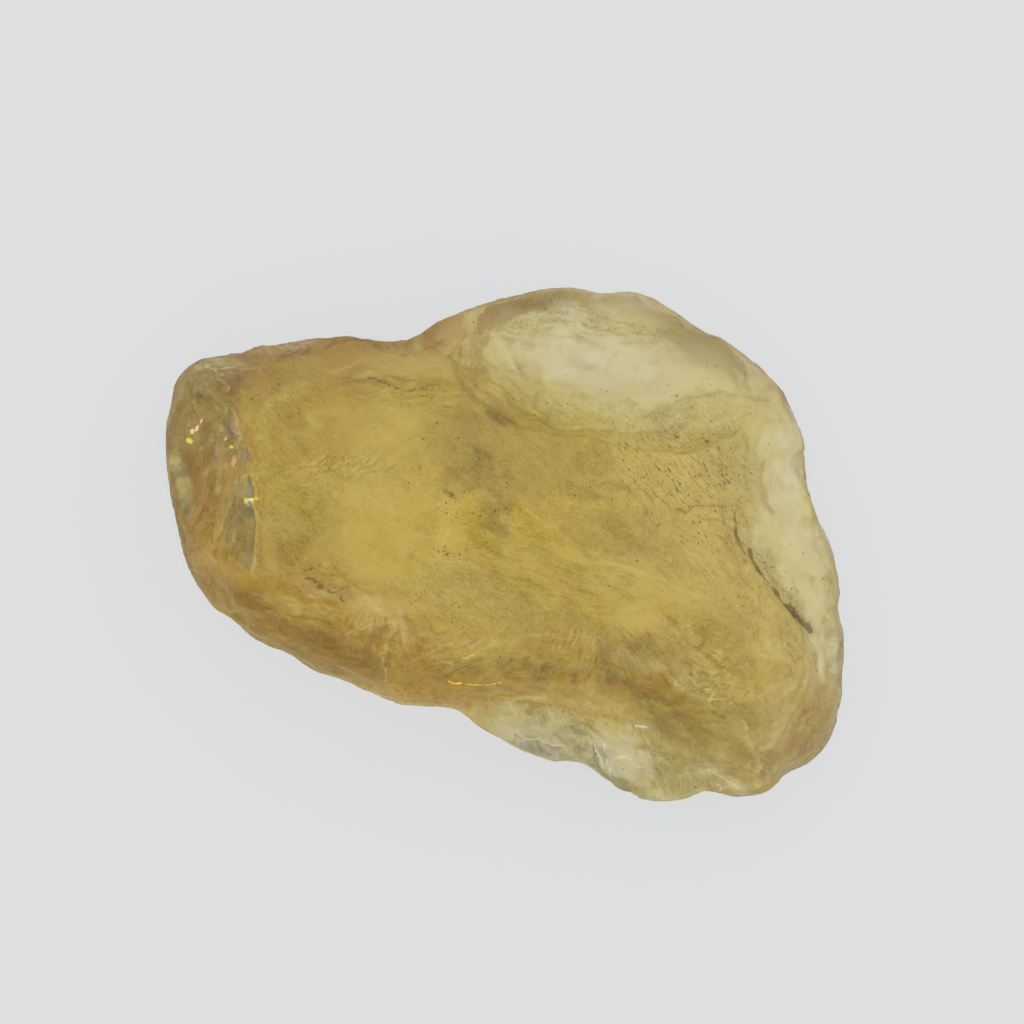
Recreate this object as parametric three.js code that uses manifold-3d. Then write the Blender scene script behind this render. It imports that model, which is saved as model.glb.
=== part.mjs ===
// Rough citrine: one piece of yellow quartz, broken off a larger crystal and left as it broke.
// Millimetres, +Z up. The stone lies on a small flat fracture face at z = 0, with its length along X.
// It is a blunt, lumpy blank with the stone's rim, from which each fracture takes a shallow shell: the
// glassy, slightly hollow breaks of quartz (conchoidal fractures) meet in sharp curved ridges.
import * as THREE from "three";
import { mergeVertices } from "three/addons/utils/BufferGeometryUtils.js";
import Module from "manifold-3d";

// ---- Driving dimensions, mm: the stone is brought to these once it is broken out of the blank ----
const LENGTH = 42.4; // along X
const WIDTH = 32.2; // along Y
const HEIGHT = 16.5; // along Z, from the face that it rests on

// ---- The blank ----
const CROWN = 16.6; // its highest point, before the fractures
const KEEL = -1.6; // its lowest point, below the face that the stone rests on
const CROWN_BLUNT = 2.7; // how square its section is above the rim: 2 is an ellipse
const KEEL_BLUNT = 2.5; // and below the rim
const STEPS_ROUND = 132;
const STEPS_UP = 15; // from the rim to the crown, and as many down to the keel

// Low swells all over it: each is a wave of this height along this direction (radians a millimetre).
const SWELLS = [
  { height: 0.22, along: new THREE.Vector3(0.62, 0.35, 0), phase: 0.5 },
  { height: 0.18, along: new THREE.Vector3(-0.41, 0.77, 0.6), phase: 2.1 },
  { height: 0.1, along: new THREE.Vector3(1.3, -0.9, 0.8), phase: 4.0 },
];

// The rim as it is seen from above: [x, y, height of the rim].
const RIM = [
  // the left end, going towards the far side
  [-21.2, 6.8, 6.2], [-20.9, 8.4, 6.3], [-20.5, 10.2, 6.5], [-19.4, 11.4, 6.5],
  // the far side, with a saddle and then the hump behind the bowl
  [-17.2, 11.8, 6.3], [-15.3, 12.6, 5.9], [-13.4, 13.0, 5.7], [-12.2, 12.9, 5.9],
  [-11.3, 13.15, 6.1], [-9.2, 12.95, 6.9], [-7.4, 12.55, 6.9], [-5.6, 12.9, 7.2],
  [-4.1, 13.95, 6.0], [0.0, 15.45, 5.2], [3.9, 16.1, 5.0], [5.9, 15.7, 4.8],
  [8.2, 15.8, 4.6], [10.5, 14.65, 4.4], [12.6, 13.15, 4.4], [13.5, 12.95, 4.4],
  // the right end, with a nick below its middle
  [15.0, 11.9, 3.0], [17.0, 10.2, 2.9], [18.1, 8.3, 2.8], [18.8, 6.2, 2.8],
  [18.8, 4.5, 2.8], [19.6, 1.9, 2.6], [20.6, -0.6, 2.4], [21.1, -3.1, 2.4],
  [20.85, -4.1, 2.6], [21.2, -5.4, 2.8], [21.25, -8.0, 2.2], [20.9, -10.6, 2.6],
  [19.9, -12.9, 3.0], [17.3, -14.6, 3.6], [16.6, -15.5, 3.4],
  // the near side: the ledge's three lobes, and then the long bank back to the left end
  [14.6, -15.8, 3.0], [12.5, -15.5, 3.4], [11.6, -15.85, 3.2], [9.4, -16.1, 3.0],
  [7.4, -15.4, 2.8], [5.4, -14.0, 2.6], [4.3, -13.5, 2.6], [3.4, -13.7, 2.6],
  [1.2, -13.0, 2.8], [-1.5, -11.5, 3.2], [-3.1, -10.25, 4.8], [-5.2, -10.0, 5.2],
  [-7.0, -9.9, 4.7], [-9.4, -8.7, 5.1], [-11.8, -7.85, 4.7], [-13.4, -6.85, 4.9],
  [-15.6, -5.95, 5.1], [-16.8, -4.8, 5.3], [-18.2, -3.9, 5.5], [-19.6, -1.9, 5.7],
  [-20.3, 0.4, 5.9], [-20.85, 3.2, 6.1],
];

// The breaks. Each is a shell of a ball that passes through the point "at". Its open side faces "azimuth"
// (0 is +X, 90 is +Y) and "slope" (90 is straight up, 0 level, -90 straight down), in degrees. "hollow" is
// the ball's radius: the smaller, the deeper the bowl. "wide" stretches the ball across the azimuth.
const BREAKS = {
  // the upper side, clockwise from the left end
  "left end": { at: [-17.5, 3.6, 12.2], azimuth: 176, slope: 44, hollow: 17, wide: 1.4 },
  "left foot": { at: [-18.9, -1.8, 10.2], azimuth: -150, slope: 38, hollow: 18, wide: 1.3 },
  "left shoulder": { at: [-18.7, 10.3, 10.8], azimuth: 124, slope: 40, hollow: 40 },
  "far left chip": { at: [-14.2, 12.5, 8.0], azimuth: 106, slope: 50, hollow: 4, wide: 1.6 },
  "far left bank": { at: [-9.8, 12.9, 11.0], azimuth: 91, slope: 24, hollow: 60 },
  "far left step": { at: [-9.8, 11.6, 13.2], azimuth: 92, slope: 58, hollow: 15, wide: 2.2 },
  "far middle step": { at: [-2.8, 11.6, 12.2], azimuth: 76, slope: 48, hollow: 16, wide: 1.3 },
  "far left lip": { at: [-2.6, 14.0, 8.8], azimuth: 116, slope: 50, hollow: 9 },
  "far lip": { at: [4.6, 15.3, 8.2], azimuth: 92, slope: 52, hollow: 14, wide: 1.4 },
  "far right lip": { at: [11.2, 13.9, 7.4], azimuth: 58, slope: 56, hollow: 14 },
  "far bowl": { at: [8.2, 11.0, 6.3], azimuth: 83, slope: 90, hollow: 5.2, wide: 1.9 },
  "bowl's floor": { at: [4.8, 12.8, 7.0], azimuth: 100, slope: 86, hollow: 6.5, wide: 1.3 },
  "far right shoulder": { at: [16.6, 9.0, 7.4], azimuth: 36, slope: 50, hollow: 10, wide: 1.4 },
  "right bank": { at: [20, 4.6, 6.6], azimuth: 6, slope: 88, hollow: 8, wide: 1.4 },
  "right bank's foot": { at: [22.4, -5.2, 6.2], azimuth: 10, slope: 84, hollow: 4.5, wide: 1.6 },
  "right crack": { at: [17.4, -3.1, 7.6], azimuth: 40, slope: 60, hollow: 1.7, wide: 3.6 },
  "right foot": { at: [20.9, -7.8, 7.4], azimuth: -4, slope: 44, hollow: 8, wide: 2.2 },
  "right slope": { at: [19.3, -6.6, 11.2], azimuth: 4, slope: 50, hollow: 30 },
  "right face": { at: [15.6, 4, 9.9], azimuth: 12, slope: 52, hollow: 40 },
  "near right bank": { at: [19.4, -11.8, 8.4], azimuth: -34, slope: 42, hollow: 30 },
  "near right corner": { at: [17, -10, 11.5], azimuth: -45, slope: 62, hollow: 40 },
  "near ledge": { at: [11.6, -16.0, 7.6], azimuth: -84, slope: 80, hollow: 2.9, wide: 1.8 },
  "near ledge's middle": { at: [6.8, -14.8, 7.6], azimuth: -100, slope: 82, hollow: 3.6, wide: 1.4 },
  "near ledge's left lobe": { at: [2.4, -13.0, 7.6], azimuth: -108, slope: 84, hollow: 3.6, wide: 2.0 },
  "near slope": { at: [1.5, -9.4, 11.0], azimuth: -97, slope: 46, hollow: 60 },
  "near right slope": { at: [10.4, -10.6, 12.2], azimuth: -100, slope: 58, hollow: 40 },
  "near left bank": { at: [-12.5, -6.0, 11.6], azimuth: -116, slope: 42, hollow: 55 },
  "near left middle": { at: [-5.8, -8.2, 11.7], azimuth: -106, slope: 46, hollow: 40 },
  "near left scar": { at: [-9.6, -8.2, 9.4], azimuth: -112, slope: 30, hollow: 5, wide: 1.6 },
  "table, left": { at: [-8, 2.5, 15.9], azimuth: 120, slope: 86, hollow: 120 },
  "table, right": { at: [9, 4, 12.8], azimuth: 32, slope: 66, hollow: 90 },
  "table, near dish": { at: [-3, -2.6, 14.5], azimuth: -98, slope: 76, hollow: 34, wide: 1.4 },
  "table, far left dish": { at: [-10.6, 7.2, 15.2], azimuth: 118, slope: 84, hollow: 32, wide: 1.2 },
  "table, near right dish": { at: [10.6, -6.2, 13.6], azimuth: -56, slope: 78, hollow: 24 },
  // the walls, from the left end over the far side
  "left wall": { at: [-20.9, 5.4, 4.0], azimuth: 178, slope: -14, hollow: 40 },
  "far left corner": { at: [-19.7, 11.0, 4.6], azimuth: 126, slope: -20, hollow: 25 },
  "far left wall": { at: [-11.4, 12.6, 4.6], azimuth: 92, slope: -16, hollow: 28 },
  "far wall's turn": { at: [-4.9, 13.1, 4.0], azimuth: 118, slope: -22, hollow: 25 },
  "far wall": { at: [4.0, 15.6, 1.8], azimuth: 91, slope: -30, hollow: 32 },
  "far right wall": { at: [13.8, 12.8, 1.6], azimuth: 52, slope: -24, hollow: 40 },
  "right wall": { at: [19.3, 4.2, 1.4], azimuth: 10, slope: -18, hollow: 40 },
  "right wall's end": { at: [21.0, -7.4, 1.6], azimuth: -4, slope: -26, hollow: 35 },
  "near right wall": { at: [19.4, -13.3, 2.2], azimuth: -50, slope: -22, hollow: 25 },
  "near wall": { at: [11.4, -15.7, 1.6], azimuth: -90, slope: -32, hollow: 30 },
  "near middle wall": { at: [1.8, -13.2, 1.6], azimuth: -113, slope: -28, hollow: 30 },
  "near left wall": { at: [-11.2, -7.7, 4.4], azimuth: -113, slope: -24, hollow: 40 },
  "left foot's wall": { at: [-18.9, -3.0, 4.6], azimuth: -140, slope: -20, hollow: 30 },
  // chips higher up on the walls
  "left foot's chip": { at: [-18.6, -3.2, 8.6], azimuth: -140, slope: 12, hollow: 9 },
  "near left chip": { at: [-14.6, -6.0, 8.8], azimuth: -116, slope: 16, hollow: 8, wide: 1.5 },
  "near left wall's top": { at: [-7.6, -9.5, 7.8], azimuth: -104, slope: 14, hollow: 9, wide: 1.4 },
  "left wall's chip": { at: [-20.8, 6.4, 8.9], azimuth: 172, slope: 18, hollow: 9, wide: 1.2 },
  "far left wall's chip": { at: [-11.8, 12.9, 7.9], azimuth: 93, slope: 14, hollow: 10, wide: 1.4 },
  "near right wall's chip": { at: [19.6, -12.6, 7.2], azimuth: -48, slope: 16, hollow: 7, wide: 1.5 },
  // the underside
  "under left": { at: [-15.4, 3, 1.5], azimuth: 176, slope: -50, hollow: 15, wide: 1.8 },
  "under far bowl": { at: [4, 12.6, 1.9], azimuth: 88, slope: -72, hollow: 40 },
  "under far left": { at: [-10, 8.0, 1.6], azimuth: 108, slope: -60, hollow: 50 },
  "under right": { at: [16.2, 1.5, 1.2], azimuth: 6, slope: -74, hollow: 45 },
  "under near": { at: [4.5, -5.2, 0.9], azimuth: -94, slope: -55, hollow: 9, wide: 3.2 },
  "under near left": { at: [-10, -2.2, 1.4], azimuth: -114, slope: -50, hollow: 16, wide: 2 },
  "under near right": { at: [14.6, -9, 1.4], azimuth: -42, slope: -60, hollow: 50 },
};

// ---- How finely the balls are faceted, and how close two vertices are to be one ----
const BALL_LEAST_STEPS = 4;
const BALL_RADIUS_A_STEP = 3.2;
const WELD = 1e-5;

const wasm = await Module();
wasm.setup();

// A closed three.js geometry as a manifold-3d solid.
function solidFrom(geometry) {
  const bare = geometry.clone();
  bare.deleteAttribute("normal");
  bare.deleteAttribute("uv");
  const merged = mergeVertices(bare, WELD);
  return new wasm.Manifold(
    new wasm.Mesh({
      numProp: 3,
      vertProperties: merged.attributes.position.array,
      triVerts: new Uint32Array(merged.index.array),
    }),
  );
}

// A manifold-3d solid as a three.js geometry.
function geometryFrom(solid) {
  const mesh = solid.getMesh();
  const geometry = new THREE.BufferGeometry();
  geometry.setAttribute("position", new THREE.BufferAttribute(mesh.vertProperties, 3));
  geometry.setIndex(new THREE.BufferAttribute(mesh.triVerts, 1));
  return geometry;
}

// How far the swells lift the blank at a point.
function swell(point) {
  const heights = SWELLS.map(({ height, along, phase }) => height * Math.sin(along.dot(point) + phase));
  return heights.reduce((sum, height) => sum + height, 0);
}

// The blank: rings of the rim's outline, from the keel up to the crown, closed with a point at each end.
function blankGeometry() {
  const rim = new THREE.CatmullRomCurve3(
    RIM.map(([x, y, z]) => new THREE.Vector3(x, y, z)),
    true,
    "centripetal",
  ).getSpacedPoints(STEPS_ROUND);
  rim.pop(); // the last point is the first again
  const rings = 2 * STEPS_UP - 1;
  const positions = [];
  for (let ring = 1; ring <= rings; ring += 1) {
    const angle = (Math.PI / 2) * (ring / STEPS_UP - 1);
    const [end, blunt] = angle > 0 ? [CROWN, CROWN_BLUNT] : [KEEL, KEEL_BLUNT];
    const reach = Math.pow(Math.cos(angle), 2 / blunt);
    const rise = Math.pow(Math.abs(Math.sin(angle)), 2 / blunt);
    for (const p of rim) {
      const point = new THREE.Vector3(p.x * reach, p.y * reach, p.z + (end - p.z) * rise);
      point.z += swell(point) * rise;
      positions.push(...point.toArray());
    }
  }
  const keel = positions.length / 3;
  const crown = keel + 1;
  positions.push(0, 0, KEEL, 0, 0, CROWN);

  const round = rim.length;
  const top = (rings - 1) * round; // the last ring's first vertex
  const faces = [];
  for (let i = 0; i < round; i += 1) {
    const next = (i + 1) % round;
    faces.push(keel, i, next);
    for (let low = 0; low < top; low += round) {
      const high = low + round;
      faces.push(low + i, high + i, low + next, low + next, high + i, high + next);
    }
    faces.push(crown, top + next, top + i);
  }
  const geometry = new THREE.BufferGeometry();
  geometry.setAttribute("position", new THREE.Float32BufferAttribute(positions, 3));
  geometry.setIndex(faces);
  return geometry;
}

// The ball that a break takes away: its surface passes through "at", square to the way that the break faces.
function ballSolid({ at, azimuth, slope, hollow, wide = 1 }) {
  const steps = Math.round(BALL_LEAST_STEPS + hollow / BALL_RADIUS_A_STEP);
  const ball = new THREE.IcosahedronGeometry(hollow, steps);
  ball.translate(0, 0, hollow);
  ball.scale(1, wide, 1);
  const facing = new THREE.Object3D();
  facing.rotation.set(0, THREE.MathUtils.degToRad(90 - slope), THREE.MathUtils.degToRad(azimuth), "ZYX");
  facing.position.set(...at);
  facing.updateMatrix();
  return solidFrom(ball.applyMatrix4(facing.matrix));
}

// What lies below z = 0, cut away to leave the face that the stone rests on.
function belowSolid() {
  const depth = -2 * KEEL;
  const block = new THREE.BoxGeometry(2 * LENGTH, 2 * WIDTH, depth);
  return solidFrom(block.translate(0, 0, -depth / 2));
}

// The broken stone, brought to its length, width and height, with the middle of its base at the origin.
function citrineGeometry() {
  const cuts = [...Object.values(BREAKS).map(ballSolid), belowSolid()];
  const stone = cuts.reduce((solid, cut) => solid.subtract(cut), solidFrom(blankGeometry()));
  const geometry = geometryFrom(stone);
  geometry.computeBoundingBox();
  const middle = geometry.boundingBox.getCenter(new THREE.Vector3());
  const size = geometry.boundingBox.getSize(new THREE.Vector3());
  geometry.translate(-middle.x, -middle.y, -geometry.boundingBox.min.z);
  geometry.scale(LENGTH / size.x, WIDTH / size.y, HEIGHT / size.z);
  geometry.computeVertexNormals();
  return geometry;
}

const citrineMaterial = new THREE.MeshStandardMaterial({ color: 0xc9a64e, roughness: 0.35, metalness: 0 });

const citrine = new THREE.Mesh(citrineGeometry(), citrineMaterial);
citrine.name = "citrine";

const part = new THREE.Group();
part.add(citrine);

export default part;
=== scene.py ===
"""Rough citrine: one broken lump of clear yellow quartz, lying on a plain pale floor."""

import math
import random

import bmesh
import bpy
import numpy as np
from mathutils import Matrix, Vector, noise
from mathutils.bvhtree import BVHTree


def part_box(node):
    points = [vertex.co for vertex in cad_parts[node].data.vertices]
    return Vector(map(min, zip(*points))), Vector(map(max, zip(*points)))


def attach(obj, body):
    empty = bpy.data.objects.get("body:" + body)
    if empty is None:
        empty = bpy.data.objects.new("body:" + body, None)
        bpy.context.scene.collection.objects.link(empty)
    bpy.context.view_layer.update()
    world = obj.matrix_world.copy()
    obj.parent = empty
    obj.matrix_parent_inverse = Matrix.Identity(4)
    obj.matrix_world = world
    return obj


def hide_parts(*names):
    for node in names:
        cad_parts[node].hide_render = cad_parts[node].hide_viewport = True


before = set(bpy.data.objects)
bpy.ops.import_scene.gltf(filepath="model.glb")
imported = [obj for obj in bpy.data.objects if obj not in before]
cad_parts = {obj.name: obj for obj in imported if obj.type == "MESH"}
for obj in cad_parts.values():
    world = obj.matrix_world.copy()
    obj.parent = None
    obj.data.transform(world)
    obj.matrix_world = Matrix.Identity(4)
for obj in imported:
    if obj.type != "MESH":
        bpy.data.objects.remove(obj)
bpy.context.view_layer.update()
STONE_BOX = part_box("citrine")

bl_info = {
    "name": "Rough Citrine",
    "version": (1, 0, 0),
    "blender": (4, 5, 0),
    "location": "View3D > Sidebar > Citrine",
    "description": "Builds a rough citrine, its broken skin and clear yellow quartz, on a plain stage",
    "category": "Mesh",
}

MM = 0.001
FLOOR_GAP = 0.05 * MM
FLOOR_REACH = 1.0
WIDEST_LEVEL = 6 * MM
VIEW_MIDDLE = (0.375, 2.06)
ROOM_LIGHT = (0.97, 0.985, 1, 1)
QUARTZ_IOR = 1.545
CLEAN = (1, 1, 1)
# A milky patch's grey tint, and the colour of the painted glow that it gives off.
MILK_TINT = (0.5, 0.5, 0.52)
MILK_LIGHT = (0.15, 0.147, 0.14)
SHARP_ANGLE = 60
SHELL_SEED, CRACK_SEED = 11, 5

# Places are (x, y) on the stone seen from above, in millimetres, and every mark is named for what it is.

# Small shells broken off the skin: how many, the radii of the balls that fit them, how deep they go, and the
# range of the skin's upward lean that they keep to, from -1 underneath to 1 on top.
SHELLS = {
    "table": (60, (5, 18), (0.03, 0.11), (0.93, 1.0)),
    "slopes": (150, (2.2, 8), (0.04, 0.20), (0.35, 0.95)),
    "rim": (170, (1.4, 5), (0.04, 0.17), (-0.35, 0.45)),
    "underneath": (90, (3, 10), (0.03, 0.12), (-0.97, -0.3)),
}

# Lines cut in the skin: their width and depth in millimetres, how much dirt they hold, and their points.
CREASES = {
    "bowl's near edge": (0.18, 0.12, 0.3, [
        (-5, 12.4), (-2, 11), (0.3, 10.3), (2, 8.6), (3.2, 7.3), (6, 7), (9, 7), (11, 7.3)
    ]),
    "bowl's inner line": (0.22, 0.07, 0.3, [(8.4, 8.0), (10, 8.5), (11.5, 9.4), (14, 9.4), (16.5, 9.1)]),
    "bowl's short crack": (0.14, 0.05, 0.25, [(6.3, 10.9), (7, 12.2)]),
    "right crack": (0.38, 0.13, 0.9, [
        (15.2, -0.3), (15.5, -1.2), (16.1, -2.2), (17.1, -3.4), (18.0, -4.3), (18.9, -5.4)
    ]),
    "right crack's side": (0.2, 0.04, 0.35, [
        (15.9, -0.8), (16.3, -1.6), (17.2, -2.7), (18.2, -3.8), (18.9, -4.9)
    ]),
    "table's middle": (0.2, 0.08, 0.15, [(-12.4, 5.6), (-8.8, 3.9), (-7.8, 5), (-4.3, 7.4)]),
    "far crack": (0.2, 0.14, 0.8, [(-8.5, 10.2), (-7.5, 9.95), (-6.6, 9.6), (-5.6, 9.65), (-4.3, 9.4)]),
    "second far crack": (0.15, 0.1, 0.7, [(-6.9, 9.25), (-5.9, 9.1), (-5.2, 9.15), (-4.3, 8.9)]),
    "third far crack": (0.12, 0.08, 0.45, [(-5.3, 9.95), (-4.4, 9.8), (-3.5, 9.9)]),
    "fourth far crack": (0.12, 0.08, 0.4, [(-4.1, 9.15), (-3.2, 8.95), (-2.4, 9.0)]),
    "right fine crack": (0.13, 0.08, 0.75, [
        (10.6, 2.0), (11.6, 2.5), (12.8, 2.6), (14.2, 2.4), (14.9, 1.6), (15.1, 0.6), (15.2, -0.3)
    ]),
    "second right crack": (0.12, 0.06, 0.6, [(11.4, 1.2), (12.4, 1.7), (13.2, 1.5), (14.4, 0.6)]),
    "middle fine crack": (0.12, 0.06, 0.55, [(10.6, -0.6), (10.2, 0.5), (10.4, 1.6), (9.9, 3), (10.1, 4)]),
    "middle crack": (0.14, 0.06, 0.5, [
        (5, 4.1), (5.8, 3.6), (6.8, 3.9), (7.6, 3.2), (8.4, 2.2), (9.2, 1.2)
    ]),
    "left arc": (0.2, 0.1, 0.12, [
        (-16.4, 8.6), (-15.7, 7.4), (-15, 5), (-14.8, 3), (-15, 0), (-15.2, -1.6)
    ]),
    "near slope's start": (0.26, 0.05, 0.06, [
        (-7, -4.1), (-5, -5), (-2, -5.8), (0, -5.5), (3, -4.5), (7, -4.2), (10, -2.5)
    ]),
    "near left crack": (0.16, 0.08, 0.4, [(-5.8, -0.6), (-4.2, -1.8), (-2.4, -3.0), (-1.2, -4.2)]),
    "ledge's back": (0.22, 0.12, 0.2, [
        (-3, -9.3), (0.5, -9.6), (3, -10), (5, -10.6), (8, -10.9), (8.7, -12.8), (11, -13.6)
    ]),
    "right slope's fold": (0.22, 0.1, 0.12, [
        (10, -5), (12.3, -6.5), (13.3, -9), (14.2, -10), (15.6, -12.5), (16.8, -14.8)
    ]),
    "right foot's fold": (0.2, 0.08, 0.1, [(17.9, -5.6), (18.8, -8), (20.2, -10.4)]),
    "left end's dark spot": (0.7, 0.02, 0.5, [(-16.2, 2.5), (-15.6, 2.1)]),
    "near left mark": (0.15, 0.1, 0.85, [(-12.7, -1.55), (-12.0, -1.45), (-11.3, -1.3)]),
    "second near left mark": (0.2, 0.12, 0.85, [(-12.3, -1.9), (-11.6, -2.0), (-11.0, -2.4)]),
    "third near left mark": (0.18, 0.12, 0.85, [(-11.6, -2.5), (-10.9, -2.7), (-10.3, -3.2), (-9.8, -3.5)]),
    "fourth near left mark": (0.14, 0.1, 0.7, [(-11.4, -1.7), (-10.6, -1.8), (-10.0, -1.7)]),
    "fifth near left mark": (0.14, 0.1, 0.7, [(-10.9, -2.15), (-10.3, -2.6), (-9.7, -2.6)]),
    "sixth near left mark": (0.13, 0.08, 0.5, [(-11.7, -0.9), (-11.2, -1.0)]),
    # The fan's two shadows are painted shadow: their dirt darkens the skin between the fan's pale strokes.
    "fan's shadow": (0.4, 0.06, 0.3, [(-6.2, -4.3), (-5.6, -5.4), (-5.3, -6.6)]),
    "fan's left shadow": (0.5, 0.06, 0.35, [(-7.3, -4.8), (-8.2, -5.6), (-8.8, -6.6)]),
    "near slope's short crack": (0.2, 0.08, 0.4, [(-5.2, -4.3), (-4.6, -5.0), (-4.1, -5.4)]),
    "right slope's notch": (0.3, 0.12, 0.45, [(9.4, -4.0), (9.9, -4.4), (10.4, -4.8)]),
    "right slope's second notch": (0.26, 0.1, 0.4, [(11.6, -5.3), (12.1, -5.5), (11.8, -6.3)]),
    "far speck": (0.2, 0.05, 1.0, [(-3.95, 6.2), (-3.85, 6.1)]),
    "far second speck": (0.16, 0.04, 0.9, [(-4.4, 6.9), (-4.35, 6.85)]),
    "middle speck": (0.26, 0.06, 0.9, [(-3.3, 3.3), (-3.1, 3.2)]),
    "middle wide speck": (0.32, 0.05, 0.4, [(-3.6, 3.4), (-2.9, 2.9)]),
    "middle small speck": (0.16, 0.04, 0.9, [(-2.7, 3.5), (-2.65, 3.5)]),
    "near speck": (0.24, 0.06, 1.0, [(-3.6, -0.65), (-3.45, -0.7)]),
    "near second speck": (0.2, 0.05, 0.9, [(-3.15, -0.7), (-3.0, -0.75)]),
    "near small speck": (0.16, 0.04, 0.9, [(-3.7, -0.3), (-3.65, -0.3)]),
    "table's edge speck": (0.16, 0.04, 0.9, [(-6.8, -0.9), (-6.75, -0.95)]),
    "near slope's speck": (0.2, 0.04, 1.0, [(-0.5, -6.7), (-0.35, -6.85)]),
    "bowl's speck": (0.24, 0.05, 0.9, [(11.6, 8.75), (11.7, 8.65)]),
    "right speck": (0.2, 0.05, 0.9, [(12.2, 6.5), (12.3, 6.45)]),
    "right second speck": (0.18, 0.04, 0.8, [(11.3, 7.0), (11.4, 6.95)]),
    "right third speck": (0.2, 0.04, 0.8, [(13.2, 6.0), (13.3, 5.9)]),
    "bowl's floor speck": (0.2, 0.04, 0.6, [(7.9, 11.2), (7.95, 11.1)]),
    "left end's speck": (0.18, 0.04, 0.7, [(-20.1, 5.0), (-20.0, 4.95)]),
    "ledge's speck": (0.2, 0.04, 0.6, [(6.0, -11.2), (6.1, -11.2)]),
}

# Hackles, the steps and strokes that a break leaves in its skin: their centre, half lengths and turn, the
# way the strokes run (an angle, or the point that they spread from), their width, how many widths long they
# are, their depth, and how strong their tint and their dirt are.
HACKLES = {
    "table's right scratches": ((10.6, 4.8), (5.2, 2.8), -14, -52, 0.34, 7, 0.05, 0.6, 1.0),
    "right corner's scratches": ((13.4, 0.6), (2.6, 2.6), 0, -40, 0.4, 5, 0.04, 0.5, 0.6),
    "near right hackles": ((12.4, -7.9), (1.7, 3.4), 24, -28, 0.55, 2.4, 0.14, 1.0, 0.2),
    "near right strokes": ((8.6, -6.4), (3.0, 2.4), -20, -50, 0.5, 6, 0.07, 0.8, 0.1),
    "near middle fan": ((3.4, -7.0), (4.2, 2.2), 0, (6.4, 1.0), 0.5, 5, 0.07, 0.7, 0.15),
    "feather": ((-7.2, -5.4), (2.6, 2.0), -20, (-7.6, -2.4), 0.5, 5, 0.12, 1.0, 0.1),
    "near strokes": ((-3.4, -6.6), (3.0, 1.5), -6, 24, 0.4, 5, 0.08, 0.8, 0.2),
    "near left hackles": ((-10.9, -2.4), (2.3, 1.5), -24, -32, 0.5, 3, 0.14, 1.0, 0.35),
    "near left strokes": ((-12.4, -5.6), (4.2, 1.6), -26, -4, 0.5, 5, 0.09, 0.6, 0.2),
    "far crack's hackles": ((-5.8, 9.2), (3.6, 1.1), -4, 4, 0.4, 6, 0.14, 1.0, 0.5),
    "table's pale hackles": ((-9.4, 5.0), (3.3, 0.9), 8, 40, 0.4, 2.4, 0.12, 1.0, 0.0),
    "table's far fan": ((0.6, 7.6), (4.0, 2.0), -28, (-9, 16), 0.7, 6, 0.05, 0.4, 0.05),
    "table's middle strokes": ((3.0, -1.6), (5.6, 2.2), -16, -20, 0.5, 8, 0.04, 0.45, 0.1),
    "bowl's veils": ((4.6, 12.0), (7.0, 2.4), -10, -12, 0.9, 6, 0.04, 0.8, 0.08),
    "right bank's folds": ((17.8, 2.8), (1.9, 6.6), 8, -72, 0.7, 6, 0.06, 1.0, 0.2),
    "ledge's folds": ((6.0, -12.6), (7.4, 2.2), -22, -64, 0.6, 4, 0.07, 0.7, 0.15),
    "left end's far fan": ((-17.8, 9.6), (2.4, 1.8), 20, (-19.6, 11.6), 0.5, 6, 0.08, 0.7, 0.1),
    "left end's chips": ((-18.2, 0.0), (2.4, 4.6), 6, 76, 0.7, 4, 0.05, 0.8, 0.15),
    "near right foot's folds": ((17.2, -8.6), (2.2, 4.4), 14, -70, 0.7, 4, 0.08, 0.6, 0.1),
}

# Thin cracks that run into the stone: the azimuth that each runs on (0 is +X, 90 is +Y), its dip below
# level, its length, how far it waves, and the points of its edge, along which it opens in the skin.
CRACK_CELL, CRACK_LIFT, CRACK_RAGGED = 0.2, 0.3, 0.5
CRACKS = {
    "left arc's upper film": (188, 68, 2.6, 0.08, [(-16.6, 8.6), (-16.1, 7.4), (-15.6, 6.0), (-15.2, 4.9)]),
    "left arc's lower film": (181, 46, 3.2, 0.1, [(-15.1, 4.7), (-14.9, 3.2), (-14.9, 1.2), (-15.2, -1.6)]),
    "left ledge's veil": (262, 43, 1.9, 0.16, [(0.4, -11.2), (1.8, -11.7), (3.8, -11.9)]),
    "middle ledge's veil": (268, 45, 2.0, 0.18, [(6.8, -12.4), (7.7, -12.6), (9.0, -12.9)]),
    "middle ledge's second veil": (184, 46, 1.4, 0.16, [(6.1, -11.9), (6.2, -13.0), (6.5, -14.0)]),
    "right ledge's veil": (252, 46, 1.3, 0.14, [(12.1, -13.7), (13.2, -14.0), (14.7, -14.9)]),
}
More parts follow.
